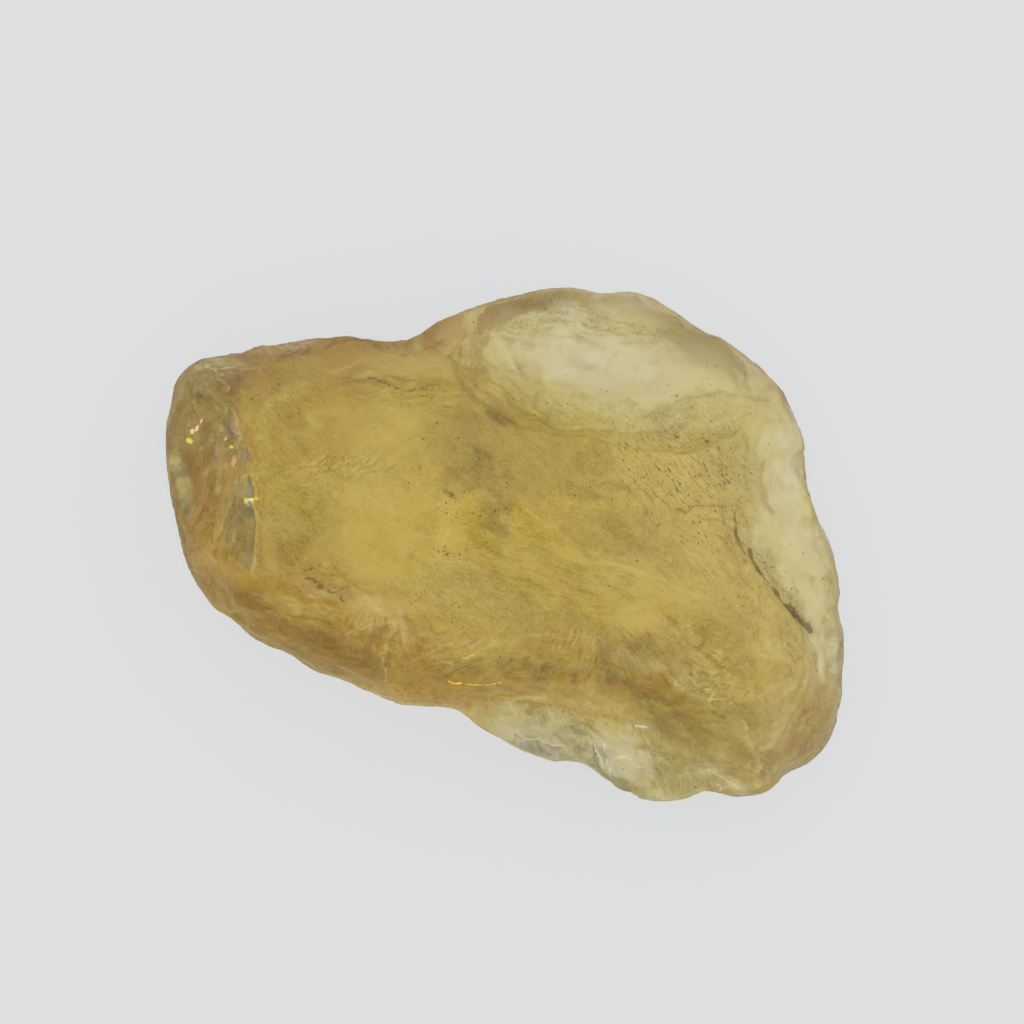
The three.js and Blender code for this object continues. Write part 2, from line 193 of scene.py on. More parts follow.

# Painted glints, light that the skin gives off in its cracks and flecks: half the width of each, its colour
# and its points on the skin.
PAINTED_GLINTS = {
    "pink": (0.07, (0.7, 0.32, 0.36), [(-18.7, 7.8), (-18.85, 7.45), (-19.1, 7.2), (-19.4, 7.1)]),
    "yellow": (0.09, (0.62, 0.5, 0.06), [(-19.35, 6.95), (-19.0, 7.05)]),
    "green": (0.17, (0.3, 0.46, 0.04), [(-19.6, 6.5), (-19.4, 6.4)]),
    "faint green": (0.08, (0.1, 0.18, 0.03), [(-18.6, 8.0), (-18.4, 8.0)]),
    "second green": (0.14, (0.34, 0.46, 0.02), [(-16.9, 6.1), (-16.8, 6.05)]),
    "rose": (0.22, (0.09, 0.02, 0.04), [(-16.75, 7.4), (-16.55, 7.0)]),
    "second rose": (0.06, (0.3, 0.2, 0.16), [(-17.4, 6.6), (-17.1, 6.4), (-17.1, 6.7)]),
    "third rose": (0.1, (0.24, 0.09, 0.14), [(-16.7, 5.5), (-16.5, 5.2), (-16.75, 5.1)]),
    "orange": (0.12, (0.24, 0.07, 0.03), [(-16.7, 4.9), (-16.5, 4.7)]),
    "mauve": (0.06, (0.16, 0.1, 0.14), [(-18.9, 6.3), (-18.7, 6.0), (-18.9, 5.7)]),
    "bright yellow": (0.035, (0.6, 0.52, 0.06), [(-16.1, 2.95), (-15.6, 2.85), (-14.95, 2.85)]),
    "yellow spot": (0.08, (0.5, 0.46, 0.06), [(-15.9, 2.9), (-15.8, 2.85)]),
    "pale spot": (0.12, (0.28, 0.32, 0.12), [(-15.85, 2.6), (-15.7, 2.5)]),
    "gold hair": (0.05, (0.5, 0.38, 0.02), [(-14.8, 3.9), (-14.75, 3.0)]),
    "gold streak": (0.07, (0.62, 0.34, 0.02), [(-3.5, -8.35), (-3.2, -8.5), (-2.7, -8.45)]),
    "middle of the gold streak": (0.045, (0.38, 0.22, 0.02), [(-2.6, -8.5), (-1.4, -8.6)]),
    "end of the gold streak": (0.05, (0.44, 0.27, 0.02), [(-1.2, -8.6), (-0.3, -8.4)]),
    "second gold streak": (0.05, (0.26, 0.17, 0.02), [(-2.6, -6.95), (-2.2, -6.7), (-1.9, -6.65)]),
    "table's comb": (0.04, (0.3, 0.2, 0.1), [
        (-12.4, 5.7), (-12.1, 5.3), (-11.8, 5.3), (-11.5, 4.9), (-11.2, 5.1), (-11.0, 4.7)
    ]),
    "comb's second part": (0.035, (0.26, 0.18, 0.09), [
        (-10.9, 5.2), (-10.6, 4.8), (-10.2, 5.0), (-9.9, 4.6), (-9.5, 4.9), (-9.0, 4.4), (-8.4, 4.7)
    ]),
    "pale comb": (0.05, (0.11, 0.09, 0.04), [
        (-3.2, 2.6), (-3.0, 2.2), (-3.5, 2.0), (-3.4, 1.5), (-3.8, 1.2), (-3.3, 0.9), (-3.7, 0.6)
    ]),
    "second pale comb": (0.05, (0.11, 0.09, 0.04), [(-3.2, 0.8), (-3.6, 0.4), (-3.9, 0.5), (-3.6, -0.2)]),
    "white fleck": (0.07, (0.2, 0.19, 0.16), [(-7.5, 0.05), (-7.2, -0.05)]),
    "right white fleck": (0.06, (0.22, 0.2, 0.16), [(7.6, 2.7), (7.9, 2.5), (8.1, 2.6)]),
    "ledge's white streak": (0.08, (0.16, 0.15, 0.13), [(12.6, -13.9), (13.4, -14.4), (14.5, -15.1)]),
    "ledge's second streak": (0.09, (0.14, 0.13, 0.11), [(6.1, -12.2), (6.2, -13.2), (6.5, -14.1)]),
    "ledge's third streak": (0.09, (0.2, 0.19, 0.17), [(8.0, -11.1), (8.7, -11.2)]),
    "ledge's fourth streak": (0.07, (0.15, 0.15, 0.14), [(6.6, -13.2), (7.6, -13.1), (8.0, -13.6)]),
}

# Pale scars where the skin is clean and clear, partly painted highlights: half the width of each and its
# points.
SCARS_AND_HIGHLIGHTS = {
    "left arc": (0.07, [
        (-16.6, 8.4), (-15.9, 6.7), (-15.3, 5), (-14.95, 3.6), (-14.9, 1.6), (-15.05, 0), (-15.3, -1.6)
    ]),
    "left end's ray": (0.06, [(-18.7, 11.0), (-16.8, 11.05), (-15.0, 10.75)]),
    "second ray": (0.05, [(-18.4, 11.0), (-16.5, 10.3)]),
    "third ray": (0.05, [(-17.9, 11.0), (-17.2, 9.7), (-17.0, 8.8)]),
    "table's line": (0.06, [(-14.2, 3.7), (-11.2, 3.8), (-9.2, 3.9), (-7.6, 5.0), (-6.0, 6.3)]),
    "fan's edge": (0.1, [(-9.6, -5.5), (-8.4, -4.8), (-7.0, -4.5), (-6.6, -4.1)]),
    "fan's middle": (0.11, [(-6.6, -4.0), (-7.1, -5.6)]),
    "fan's long stroke": (0.09, [(-7.2, -5.8), (-7.7, -7.0), (-7.6, -8.3)]),
    "fan's right edge": (0.07, [(-6.5, -4.0), (-6.1, -5.2), (-6.3, -6.4)]),
    "fan's top": (0.12, [(-8.8, -3.5), (-7.4, -4.0), (-6.6, -3.9)]),
    "near middle stroke": (0.09, [(-2.7, -7.0), (-1.9, -6.4), (-0.6, -5.8)]),
    "second middle stroke": (0.1, [(-4.4, -7.3), (-3.4, -7.1)]),
    "near stroke": (0.09, [(1.6, -5.6), (3.0, -5.3)]),
    "foot's stroke": (0.12, [(-0.6, -9.5), (1.4, -9.3), (3.0, -9.9)]),
    "near right streak": (0.06, [(9.0, -4.6), (9.7, -4.8), (10.5, -5.7), (11.4, -6.6)]),
    "upper wave": (0.16, [(4.0, -0.6), (6.6, -1.2), (9.4, -2.0), (11.5, -3.2)]),
    "pale notch": (0.22, [(6.8, -4.2), (8.2, -4.0)]),
    "squiggle": (0.05, [
        (12.0, -6.3), (12.8, -6.5), (12.4, -7.2), (13.1, -7.3), (13.5, -7.7), (12.7, -7.9), (13.2, -8.6)
    ]),
    "second squiggle": (0.06, [(12.2, -8.6), (12.9, -9.0), (12.3, -9.3), (13.6, -9.6), (14.0, -10.0)]),
    "third squiggle": (0.05, [(10.2, -7.6), (10.9, -8.2), (10.2, -8.6), (10.8, -8.9)]),
    "right fold": (0.09, [(14.4, -10.7), (15.2, -12.6), (16.3, -14.6)]),
    "right foot's fold": (0.1, [(18.4, -5.4), (18.8, -7.6), (19.6, -9.6)]),
    "right bank's line": (0.12, [(15.4, -1.6), (14.9, -0.6), (14.2, 0.6), (13.6, 1.0)]),
    "far lip": (0.1, [(-3.4, 12.9), (-1.6, 13.6), (0.4, 14.6)]),
}

# Patches of the skin: centre, half lengths in millimetres, turn in degrees, and how strong each is.
# Stains, and on the near and left slopes and ends painted shade in the stain colour.
STAINS_AND_SHADE = [
    ("right foot's edge", (20.6, -2.4), (0.7, 2.4), -6, 0.4),
    ("beside the right crack", (17.0, -1.8), (0.7, 1.8), 34, 0.8),
    ("far rim", (3.2, 15.0), (3.0, 0.7), 10, 0.6),
    ("right end", (20.0, -10.5), (1.4, 3.2), -14, 0.1),
    ("right edge", (19.4, 4.2), (0.9, 3.0), -6, 1.0),
    ("near right foot", (14.2, -15.2), (2.0, 0.8), -20, 0.7),
    ("table's far left", (-11.6, 6.2), (2.6, 2.0), -10, 0.4),
    ("near left bank", (-13.0, -3.6), (3.4, 1.0), -28, 0.5),
    ("left end", (-19.6, 6.0), (1.6, 4.0), 4, 0.15),
    ("middle of the near right slope", (8.8, -8.6), (1.5, 0.8), 10, 0.7),
    ("second of the near right slope", (9.8, -5.6), (1.4, 0.5), -20, 0.6),
    ("head of the near right slope", (11.9, -5.4), (0.7, 0.5), 0, 0.8),
    ("foot of the near right slope", (12.6, -12.0), (2.6, 1.0), -15, 0.35),
    ("near right edge", (14.8, -13.6), (1.0, 1.6), 30, 0.6),
    ("near left corner", (-15.3, -4.2), (2.0, 1.2), -30, 1.0),
    ("near left slope", (-12.0, -5.8), (3.0, 1.2), -30, 0.6),
    ("near left hollow", (-8.6, -5.4), (1.7, 0.6), 14, 0.5),
    ("near left foot", (-8.5, -6.9), (1.1, 0.8), 0, 0.3),
    ("left end's far side", (-19.4, 8.5), (1.4, 0.7), 20, 0.9),
    ("left end's far corner", (-17.0, 10.6), (1.6, 0.7), -10, 0.5),
    ("left end's edge", (-19.6, 1.6), (0.8, 1.6), 8, 0.15),
    ("left end's chip", (-17.2, -2.8), (0.9, 0.5), -30, 0.7),
    ("left end's middle", (-17.6, 5.8), (0.9, 0.7), 0, 0.6),
    ("hackled patch of the table", (-10.8, -2.3), (1.8, 1.1), -30, 0.7),
    ("far left rim", (-9, 12.6), (6, 0.4), 3, 0.35),
    ("far left shelf", (-12.8, 11.8), (1.3, 0.3), 0, 0.9),
    ("far crack's lip", (-5, 9.9), (3, 0.4), -4, 0.8),
    ("ledge's neck", (9.8, -11.0), (2.0, 1.0), -10, 0.7),
]
# Grey haze, and on the near slopes painted shade in the grey colour.
GREYS_AND_SHADE = [
    ("near middle", (-6.0, -6.8), (3.4, 1.8), -10, 0.4),
    ("middle of the table", (-0.6, 2.0), (1.2, 2.6), -12, 0.9),
    ("far of the middle", (-2.6, 4.6), (1.6, 1.4), 30, 0.5),
    ("right of the middle", (6.6, 3.2), (1.8, 0.7), -8, 0.7),
    ("left end's window", (-20, 3.6), (0.9, 1.5), 10, 0.9),
    ("left end's spot", (-16, 2.2), (0.7, 0.5), 0, 1.0),
    ("left end's film", (-16.2, 0.8), (1.0, 2.2), 0, 0.7),
    ("near slope", (0.6, -8.2), (5.4, 1.4), -6, 0.8),
    ("near right slope", (7.2, -7.0), (2.0, 1.6), 20, 0.6),
    ("ledge's left", (4.2, -13.0), (4.2, 1.8), -24, 1.0),
    ("near left slope's foot", (-8.2, -7.0), (1.4, 0.8), -10, 0.6),
    ("table's right end", (13.6, 5.4), (1.6, 2.2), 10, 0.25),
]
CLEARS = [
    ("near slope's foot", (3.4, -8.9), (4.6, 0.8), -4, 0.4),
    ("right bank's foot", (18.9, -2.0), (0.9, 2.4), 10, 0.8),
    ("right end", (17.2, -11.0), (1.4, 1.6), -20, 0.5),
    ("far of the table", (-7.8, 7.0), (4.8, 2.0), -8, 0.45),
    ("right foot", (19.0, -7.6), (1.0, 2.4), -10, 0.7),
    ("bowl", (6.8, 10.9), (6.8, 1.9), -6, 1.0),
    ("right bank", (17.5, 3.8), (2.3, 6.4), 8, 1.0),
    ("left of the table", (-7.6, 0.6), (3.4, 3.6), -20, 0.4),
    ("dirty patch of the table", (-3.4, 1.0), (0.9, 2.4), -4, 1.0),
    ("far left bank", (-8.4, 11.2), (4.8, 0.9), -2, 0.9),
    ("far left wedge", (-13.6, 12.4), (2.6, 0.5), 8, 1.0),
    ("far left lip", (-2.0, 13.8), (2.4, 1.6), 20, 0.8),
    ("bowl's far rim", (8.4, 14.6), (5.4, 0.8), -14, 0.6),
    ("right end of the bowl", (13.4, 12.0), (3.4, 2.0), -50, 1.0),
    ("near right corner", (8.4, -4.0), (2.0, 0.8), 10, 0.4),
    ("ledge", (2, -12), (3, 1.2), -20, 0.4),
    ("ledge's middle", (7.0, -13.2), (2.0, 1.6), -20, 1.0),
    ("right lobe's edge", (13.4, -14.6), (1.8, 0.5), -30, 0.9),
    # The left lobes are cleared partly as a painted highlight.
    ("left lobe", (-18.7, -1.1), (0.9, 0.7), -20, 0.9),
    ("second left lobe", (-16.9, -2.0), (1.1, 0.8), -20, 0.8),
    ("third left lobe", (-17.3, 3.4), (0.6, 0.3), 0, 0.8),
    ("left end's haze", (-19.8, 3.6), (0.4, 1.5), 12, 0.5),
    ("left edge of the table", (-14.4, -0.4), (0.5, 1.2), 10, 0.6),
    ("fan", (-7.3, -3.6), (2.6, 0.6), -4, 0.7),
    ("near right fold", (16.4, -8.0), (1.0, 3.0), 14, 0.6),
]
# The darkest patches: the skin's own darker colour, and on the near and left slopes and ends painted shade.
AMBERS_AND_SHADE = [
    ("right bank's edge", (19.7, 5.0), (0.9, 3.6), 4, 0.35),
    ("ledge's near edge", (6.6, -15.2), (2.6, 0.9), -16, 0.9),
    ("near slope", (2.6, -6.8), (2.6, 1.4), -10, 0.6),
    ("far left corner", (-18.4, 9.4), (2.8, 2.2), 20, 1.0),
    ("left end's far part", (-19.2, 6.6), (2.0, 3.0), 0, 1.0),
    ("left end's inner part", (-17.2, 4.0), (1.5, 2.6), 0, 0.6),
    ("left end's edge", (-20.2, 1.0), (1.0, 4.0), 8, 0.8),
    ("left end's near part", (-17.4, -2.8), (2.4, 1.4), -30, 0.9),
    ("near left corner", (-15.0, -5.0), (3.2, 1.8), -34, 1.0),
    ("near left slope", (-11.4, -6.6), (4.0, 1.7), -24, 0.9),
    ("near left middle", (-8.4, -6.0), (3.0, 1.4), -10, 0.2),
    ("near middle slope", (-1.2, -8.4), (5.4, 2.2), -6, 0.35),
    ("near right slope", (11.8, -10.8), (4.2, 3.0), -30, 1.0),
    ("head of the near right slope", (8.6, -7.4), (3.6, 2.2), 0, 0.8),
    ("right fold", (13.2, -5.0), (1.6, 1.6), 0, 0.5),
    ("near table", (2.2, -3.0), (6.0, 2.4), -4, 0.15),
    ("middle", (0.4, 6.0), (5.4, 3.2), -24, 0.8),
    ("right middle", (7.4, 0.9), (3.2, 1.6), 0, 0.7),
    ("table's left", (-12.4, 1.4), (2.4, 2.4), 0, 0.45),
    ("ledge's right lobe", (11.4, -14.6), (3.6, 1.2), -10, 0.9),
    ("ledge's left", (-0.6, -10.8), (1.8, 0.9), -20, 0.6),
    ("ledge's middle", (4.0, -13.2), (3.6, 1.4), -24, 0.6),
    ("right end", (19.6, -12.0), (1.6, 2.0), -20, 0.15),
]
GOLDS = [
    ("left end", (-18.8, 2.0), (1.6, 4.6), 4, 0.5),
    ("far left rim", (-11.0, 12.2), (4.4, 1.4), 2, 0.8),
    ("left lobe", (-18.6, -1.2), (1.6, 1.2), -30, 0.8),
    ("right end", (19.8, -11.0), (1.8, 3.0), -16, 1.0),
    ("table's far left", (-11.8, 7.4), (3.6, 3.4), -16, 1.0),
    ("middle", (3.2, 7.2), (4.4, 2.6), -30, 0.8),
    ("right of the middle", (5.0, 2.0), (3.4, 2.0), -10, 0.8),
    ("left end's edge", (-20.4, 3.0), (1.2, 5.0), 6, 0.8),
    ("near left corner", (-15.6, -4.6), (3.0, 2.0), -34, 0.7),
    ("far left bank", (-11.6, 11.4), (3.6, 0.8), 0, 0.8),
    ("right edge", (19.2, 4.0), (1.0, 3.0), -6, 1.0),
    ("right fold", (12.8, -9.2), (2.0, 1.6), 0, 0.8),
    ("near right foot", (15.2, -15.0), (2.8, 1.2), -14, 1.0),
]
# Milky patches: a grey tint in the skin's colour, and a painted glow of light given off there.
MILK_GLOWS = [
    ("ledge's middle", (7.0, -13.0), (2.4, 1.7), -20, 1.0),
    ("ledge's neck", (8.4, -11.2), (0.9, 0.4), 0, 0.8),
    ("ledge's left", (2.2, -12.3), (3.2, 1.0), -20, 0.6),
    ("ledge's right lobe", (13.5, -14.5), (1.8, 0.6), -30, 0.9),
    ("bowl's band", (5.0, 11.0), (4.2, 1.0), -14, 0.6),
    ("bowl's far side", (3.8, 14.7), (1.2, 0.5), 0, 0.9),
    ("bowl's far rim", (8.4, 15.2), (1.6, 0.5), -10, 0.7),
    ("right bank's far end", (15.2, 11.0), (0.8, 1.4), 30, 0.6),
    ("right bank", (17.8, 6.4), (0.7, 3.0), 10, 0.5),
    ("far left wedge", (-13.6, 12.3), (2.0, 0.4), 6, 0.9),
    ("left end's window", (-19.9, 3.4), (0.5, 1.9), 14, 0.35),
    ("left end's middle", (-17.2, 6.2), (0.9, 1.6), -10, 0.4),
    ("left lobe", (-18.6, -0.9), (0.7, 0.6), -20, 0.25),
    ("near left fan", (-7.4, -3.7), (1.6, 0.4), -10, 0.4),
]
SPECKLES = [
    ("far of the dirty patch", (-3.8, 5.6), (1.2, 2.0), 24, 1.0),
    ("dirty patch of the table", (-3.2, 1.2), (1.3, 2.8), -6, 1.0),
    ("middle of the table", (-1.0, 2.6), (1.6, 3.4), -14, 0.7),
    ("table's right side", (11.4, 4.4), (4.2, 4.0), -10, 0.8),
    ("right of the middle", (6.4, 3.6), (2.2, 0.9), -6, 0.8),
    ("bowl's near side", (3.0, 9.0), (3.2, 1.6), -30, 0.35),
    ("bowl's right side", (12.4, 9.2), (2.2, 2.0), 0, 0.4),
    ("far middle", (-1.6, 12.6), (2.4, 1.6), 20, 0.5),
    ("near left slope", (-4.2, -3.6), (2.8, 1.4), -34, 0.6),
    ("right crack", (16.8, -2.6), (0.9, 2.8), 34, 1.0),
    ("ledge", (7.6, -13.0), (1.6, 1.6), 0, 0.4),
    ("left end", (-13.6, 8.6), (1.8, 1.4), 0, 0.4),
]


class CitrineSettings(bpy.types.PropertyGroup):
    """Sizes and colours of the stone that a user would change."""

    grid: bpy.props.FloatProperty(
        name="Grid", description="Width of the faces that the fine skin is worked in",
        default=0.212 * MM, min=0.1 * MM, unit="LENGTH", precision=5,
    )
    shell_share: bpy.props.FloatProperty(
        name="Shells", description="Share of the small broken shells that are made",
        default=1.0, min=0.0, max=1.0, subtype="FACTOR",
    )
    swell: bpy.props.FloatProperty(
        name="Swell", description="Height of the broad soft lumps of the skin",
        default=0.12 * MM, min=0.0, unit="LENGTH", precision=5,
    )
    grain: bpy.props.FloatProperty(
        name="Grain", description="Height of the fine orange peel of the skin",
        default=0.02 * MM, min=0.0, unit="LENGTH", precision=5,
    )
    crack_gap: bpy.props.FloatProperty(
        name="Crack gap", description="Width of the air in the thin cracks",
        default=0.035 * MM, min=0.005 * MM, unit="LENGTH", precision=5,
    )
    absorbed: bpy.props.FloatVectorProperty(
        name="Absorbed", description="Red, green and blue light that the quartz takes, per metre",
        default=(12.0, 32.0, 142.0), min=0.0, size=3,
    )
    frost: bpy.props.FloatProperty(
        name="Frost", description="Roughness of the broken skin",
        default=0.42, min=0.0, max=1.0, subtype="FACTOR",
    )
    skin_colour: bpy.props.FloatVectorProperty(
        name="Skin", description="Colour that the weathered skin gives the light",
        default=(0.96, 0.94, 0.68), min=0.0, max=1.0, subtype="COLOR",
    )
    honey_colour: bpy.props.FloatVectorProperty(
        name="Honey", description="Colour of the warm clouds in the skin",
        default=(0.77, 0.69, 0.45), min=0.0, max=1.0, subtype="COLOR",
    )
    # Also the painted shade on the near and left sides.
    amber_and_shade_colour: bpy.props.FloatVectorProperty(
        name="Amber", description="Colour of the skin where it is darkest",
        default=(0.50, 0.46, 0.34), min=0.0, max=1.0, subtype="COLOR",
    )
    gold_colour: bpy.props.FloatVectorProperty(
        name="Gold", description="Colour of the most yellow patches of the skin",
        default=(1.0, 0.96, 0.55), min=0.0, max=1.0, subtype="COLOR",
    )
    # Also the painted shade on the near slopes.
    grey_and_shade_colour: bpy.props.FloatVectorProperty(
        name="Grey", description="Colour of the dull hazy patches of the skin",
        default=(0.46, 0.49, 0.54), min=0.0, max=1.0, subtype="COLOR",
    )
    # Also the painted shade in the hollows and on the near and left sides.
    stain_and_shade_colour: bpy.props.FloatVectorProperty(
        name="Stain", description="Colour of the iron stains in the skin",
        default=(0.66, 0.56, 0.32), min=0.0, max=1.0, subtype="COLOR",
    )
    dirt_colour: bpy.props.FloatVectorProperty(
        name="Dirt", description="Colour of the dirt that lies in pits and creases",
        default=(0.06, 0.036, 0.009), min=0.0, max=1.0, subtype="COLOR",
    )


class StageSettings(bpy.types.PropertyGroup):
    """Sizes and tones of the floor, the light and the camera."""

    floor_tone: bpy.props.FloatProperty(
        name="Floor tone", description="How much of the light the floor gives back",
        default=0.12, min=0.0, max=1.0, subtype="FACTOR",
    )
    floor_glow: bpy.props.FloatProperty(
        name="Floor glow", description="Strength of the light that the floor gives of its own",
        default=0.628, min=0.0,
    )
    sky: bpy.props.FloatProperty(
        name="Sky", description="Strength of the soft light on its bright side", default=1.2, min=0.0,
    )
    shade: bpy.props.FloatProperty(
        name="Shade", description="Strength of the soft light on its dim side", default=0.25, min=0.0,
    )
    bright_side: bpy.props.FloatVectorProperty(
        name="Bright side", description="Direction that the soft light comes from",
        default=(0.35, 0.35, 0.87), subtype="DIRECTION", size=3,
    )
    lens: bpy.props.FloatProperty(
        name="Lens", description="Focal length of the camera in millimetres", default=180.0, min=10.0,
    )
    view_width: bpy.props.FloatProperty(
        name="View width", description="Width of what the camera sees at the stone's widest level",
        default=64 * MM, min=1 * MM, unit="LENGTH",
    )


# ---------------------------------------------------------------- numbers over the skin


def ramp(value, start, end):
    """0 before start, 1 after end, smooth between them."""
    t = np.clip((value - start) / (end - start), 0, 1)
    return t * t * (3 - 2 * t)


def cloud(places, size, octaves=4, seed=0):
    """Soft noise from about -1 to 1, whose lumps are about size millimetres wide."""
    shift = Vector((17.3, 5.9, 11.7)) * (seed + 1)
    return np.array([noise.fractal(Vector(p) / size + shift, 0.9, 2.1, octaves) for p in places])


def turned(places, angle):
    """Plan distances along and across a direction at an angle in degrees."""
    c, s = math.cos(math.radians(angle)), math.sin(math.radians(angle))
    return places[:, 0] * c + places[:, 1] * s, places[:, 1] * c - places[:, 0] * s


def terraces(values, steps):
    """Turns soft noise into gentle ramps that end in sharp steps, from 0 to 1."""
    raised = values * steps
    return raised - np.floor(raised)


def stroke_places(places, way, width, long, seed, at=None):
    """Where each place lies along and across a hackle's strokes, in their own lengths and widths."""
    if isinstance(way, tuple):
        spread = places[:, :2] - np.array(way)
        middle = np.subtract(at, way)
        along = np.hypot(*spread.T)
        angle = np.arctan2(spread[:, 1], spread[:, 0]) - math.atan2(middle[1], middle[0])
        across = (np.mod(angle + math.pi, 2 * math.pi) - math.pi) * np.hypot(*middle)
    else:
        along, across = turned(places, way)
    bend = 0.5 * cloud(places, 1.6, 2, seed)
    up = places[:, 2] / (4 * width) + 9.7 * seed
    return np.column_stack([along / (width * long), across / width + bend, up])


def patch(places, centre, reach, turn=0.0, ragged=0.35, seed=0):
    """A soft-edged ragged patch in plan: 1 inside, 0 outside."""
    along, across = turned(places[:, :2] - np.array(centre), turn)
    far = np.hypot(along / reach[0], across / reach[1])
    near = far < 2.0
    if near.any():
        far[near] += ragged * cloud(places[near], 0.6 * min(reach), 3, seed)
    return 1 - ramp(far, 0.6, 1.35)


def line_distance(places, points):
    """Distance in plan from each place to an open line through the points."""
    at = places[:, :2]
    nearest = np.full(len(at), np.inf)
    for start, end in zip(points, points[1:]):
        a, d = np.array(start, float), np.subtract(end, start)
        t = np.clip((at - a) @ d / (d @ d), 0, 1)
        nearest = np.minimum(nearest, np.hypot(*(at - a - t[:, None] * d).T))
    return nearest


class Skin:
    """The stone's fine mesh as arrays: places in millimetres, outward directions and neighbours."""

    def __init__(self, mesh):
        self.mesh = mesh
        self.count = len(mesh.vertices)
        ends = np.empty(len(mesh.edges) * 2, np.int32)
        mesh.edges.foreach_get("vertices", ends)
        self.start, self.end = ends[0::2], ends[1::2]
        self.neighbours = np.bincount(ends, minlength=self.count)
        self.read()

    def read(self):
        """Reads the places and outward directions from the mesh."""
        values = np.empty(self.count * 3, np.float32)
        self.mesh.vertices.foreach_get("co", values)
        self.places = values.reshape(-1, 3).astype(float) / MM
        self.mesh.vertex_normals.foreach_get("vector", values)
        self.out = values.reshape(-1, 3).astype(float)
        self.up = self.out[:, 2]

    def write(self, places):
        """Puts the vertices at these places, inside the plain solid's box."""
        low, high = (np.array(corner) / MM for corner in STONE_BOX)
        places = np.clip(places, low, high)
        self.mesh.vertices.foreach_set("co", (places * MM).astype(np.float32).ravel())
        self.mesh.update()
        self.read()

    def push(self, height):
        """Moves the skin out by a height in millimetres, but leaves the face it rests on."""
        free = ramp(self.places[:, 2], 0.05, 0.6)
        self.write(self.places + self.out * (height * free)[:, None])

    def even(self, places):
        """Each vertex at the middle of its neighbours."""
        middle = np.empty_like(places)
        for axis in range(3):
            values = places[:, axis]
            total = np.bincount(self.start, values[self.end], self.count)
            total += np.bincount(self.end, values[self.start], self.count)
            middle[:, axis] = total / self.neighbours
        return middle

    def hollow(self, rounds):
        """How far the skin lies below its own smoothed shape, in millimetres."""
        places = self.places
        for _ in range(rounds):
            places = self.even(places)
        return np.einsum("ij,ij->i", places - self.places, self.out)

    def keep(self, name, values):
        """Stores one number from 0 to 1 at each vertex, for the material to read."""
        attribute = self.mesh.attributes.new(name, "FLOAT", "POINT")
        attribute.data.foreach_set("value", np.clip(values, 0, 1).astype(np.float32))

    def keep_places(self, name, values):
        """Stores three numbers at each vertex, for the material to read."""
        attribute = self.mesh.attributes.new(name, "FLOAT_VECTOR", "POINT")
        attribute.data.foreach_set("vector", values.astype(np.float32).ravel())


# ---------------------------------------------------------------- the stone's shape


def merged_copy(node, name):
    """A copy of a CAD node whose loose triangles are joined into one closed mesh."""
    mesh = bpy.data.meshes.new(name)
    bm = bmesh.new()
    bm.from_mesh(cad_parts[node].data)
    bmesh.ops.remove_doubles(bm, verts=bm.verts, dist=0.001 * MM)
    bm.to_mesh(mesh)
    bm.free()
    piece = bpy.data.objects.new(name, mesh)
    bpy.context.scene.collection.objects.link(piece)
    return piece


def regrid(piece, width):
    """Gives the piece an even fine mesh, whose steps are then smoothed away."""
    remesh = piece.modifiers.new("grid", "REMESH")
    remesh.mode = "VOXEL"
    remesh.voxel_size = width
    graph = bpy.context.evaluated_depsgraph_get()
    mesh = bpy.data.meshes.new_from_object(piece.evaluated_get(graph))
    piece.modifiers.clear()
    piece.data = mesh
    mesh.name = piece.name
    bm = bmesh.new()
    bm.from_mesh(mesh)
    for _ in range(2):
        bmesh.ops.smooth_vert(
            bm, verts=bm.verts, factor=0.5, use_axis_x=True, use_axis_y=True, use_axis_z=True
        )
    bm.to_mesh(mesh)
    bm.free()


def break_shells(skin, share):
    """Breaks the small hollow shells off the skin, each along a ball that dips into it."""
    draw = random.Random(SHELL_SEED)
    dullness = np.full(skin.count, 0.4)
    for count, radii, depths, (low, high) in SHELLS.values():
        open_skin = np.flatnonzero((skin.up >= low) & (skin.up <= high) & (skin.places[:, 2] > 0.6))
        places, out = skin.places.copy(), skin.out
        for _ in range(round(count * share)):
            at = open_skin[draw.randrange(len(open_skin))]
            radius, depth = draw.uniform(*radii), draw.uniform(*depths)
            facing = out[at] + [draw.gauss(0, 0.22) for _ in range(3)]
            facing /= np.linalg.norm(facing)
            away = places - (places[at] + facing * (radius - depth))
            far = np.linalg.norm(away, axis=1)
            beside = np.linalg.norm(places - places[at], axis=1) / math.sqrt(2 * radius * depth)
            cut = (far < radius) & (out @ facing > 0.3) & (beside < 1.6)
            deep = np.minimum(radius - far[cut], 1.3 * depth) * ramp(beside[cut], 1.6, 1.2)
            places[cut] += away[cut] * (deep / far[cut])[:, None]
            dullness[cut] = draw.random()
        skin.write(places)
    skin.keep("dullness", dullness)


